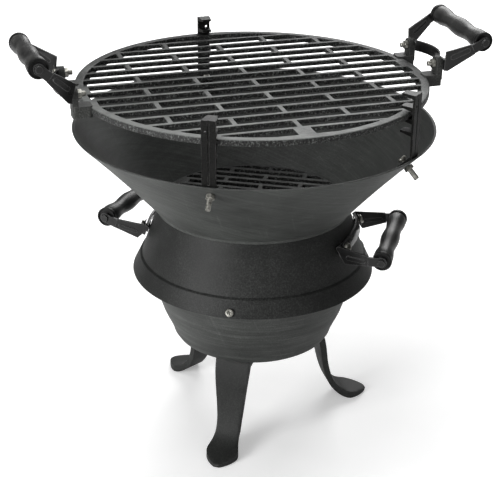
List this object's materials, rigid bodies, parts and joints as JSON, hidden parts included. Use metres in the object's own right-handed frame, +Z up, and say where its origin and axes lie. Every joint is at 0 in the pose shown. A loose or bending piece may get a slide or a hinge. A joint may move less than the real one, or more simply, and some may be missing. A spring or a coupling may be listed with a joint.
{
  "type": "portable charcoal grill",
  "caption": "Round cast-iron table-top charcoal grill: ash bowl on legs, collar, cone-shaped fire bowl, charcoal grate and a turning cooking grate with turned wooden handles.",
  "frame": {"origin": "on the floor under the centre of the bowls", "axes": "+Z up; +X along the bars of the cooking grate, towards one of its two handles; +Y towards the back height post"},
  "size_m": [0.4657, 0.3664, 0.4265],
  "materials": {
    "grey_cast_iron": "rough sand-cast, seasoned",
    "black_painted_cast_iron": "satin black paint",
    "black_bracket_steel": "satin black",
    "black_lacquered_wood": "black lacquer with a soft sheen",
    "black_cap_plastic": "matte black",
    "black_washer_steel": "matte black",
    "zinc_plated_steel": "bright zinc plating"
  },
  "bodies": {
    "base": {"ash_bowl": "grey_cast_iron", "collar": "grey_cast_iron", "collar_grip_rod_left": "black_bracket_steel", "collar_grip_rod_right": "black_bracket_steel", "collar_handle_bolts": "zinc_plated_steel", "collar_handle_bracket_left": "black_bracket_steel", "collar_handle_bracket_right": "black_bracket_steel", "collar_handle_nuts": "zinc_plated_steel", "collar_handle_spacers": "black_washer_steel", "collar_handle_washers": "black_washer_steel", "collar_screws": "zinc_plated_steel", "leg_back": "grey_cast_iron", "leg_bolts": "zinc_plated_steel", "leg_front": "grey_cast_iron", "leg_nuts": "zinc_plated_steel", "leg_right": "grey_cast_iron"},
    "fire_bowl_unit": {"fire_bowl": "grey_cast_iron", "post_bolts": "zinc_plated_steel", "post_nuts": "zinc_plated_steel", "support_post_back": "black_painted_cast_iron", "support_post_front": "black_painted_cast_iron", "support_post_right": "black_painted_cast_iron"},
    "charcoal_grate_unit": {"charcoal_grate": "grey_cast_iron"},
    "cooking_grate_unit": {"cooking_grate": "grey_cast_iron", "grate_handle_lugs": "grey_cast_iron", "grate_handle_bracket_left": "black_bracket_steel", "grate_handle_bracket_right": "black_bracket_steel", "grate_grip_rod_left": "black_bracket_steel", "grate_grip_rod_right": "black_bracket_steel", "grate_handle_bolts": "zinc_plated_steel", "grate_handle_nuts": "zinc_plated_steel"},
    "grate_grip_right_unit": {"grate_grip_right": "black_lacquered_wood", "grate_grip_caps_right": "black_cap_plastic"},
    "grate_grip_left_unit": {"grate_grip_left": "black_lacquered_wood", "grate_grip_caps_left": "black_cap_plastic"},
    "collar_grip_right_unit": {"collar_grip_right": "black_lacquered_wood", "collar_grip_caps_right": "black_cap_plastic"},
    "collar_grip_left_unit": {"collar_grip_left": "black_lacquered_wood", "collar_grip_caps_left": "black_cap_plastic"}
  },
  "joints": [
    {"name": "fire_bowl_lift", "type": "slide", "parent": "base", "child": "fire_bowl_unit", "axis": [0, 0, 1], "range_m": [0, 0.1]},
    {"name": "charcoal_grate_lift", "type": "slide", "parent": "fire_bowl_unit", "child": "charcoal_grate_unit", "axis": [0, 0, 1], "range_m": [0, 0.1]},
    {"name": "cooking_grate_turn", "type": "hinge", "parent": "fire_bowl_unit", "child": "cooking_grate_unit", "pos_m": [-0.0022, 0.0012, 0.3665], "axis": [0, 0, 1], "range_deg": [-28, 36]},
    {"name": "grate_grip_right_spin", "type": "hinge", "parent": "cooking_grate_unit", "child": "grate_grip_right_unit", "pos_m": [0.22175, 0.0012, 0.40897], "axis": [-0.0245, 0.999, 0.037], "continuous": true},
    {"name": "grate_grip_left_spin", "type": "hinge", "parent": "cooking_grate_unit", "child": "grate_grip_left_unit", "pos_m": [-0.22134, 0.0012, 0.41501], "axis": [0.0305, -0.999, 0.0322], "continuous": true},
    {"name": "collar_grip_right_spin", "type": "hinge", "parent": "base", "child": "collar_grip_right_unit", "pos_m": [0.12171, -0.07605, 0.21636], "axis": [-0.5295, -0.8471, -0.0444], "continuous": true},
    {"name": "collar_grip_left_spin", "type": "hinge", "parent": "base", "child": "collar_grip_left_unit", "pos_m": [-0.11294, 0.09145, 0.21744], "axis": [0.6225, 0.7814, -0.0436], "continuous": true}
  ]
}
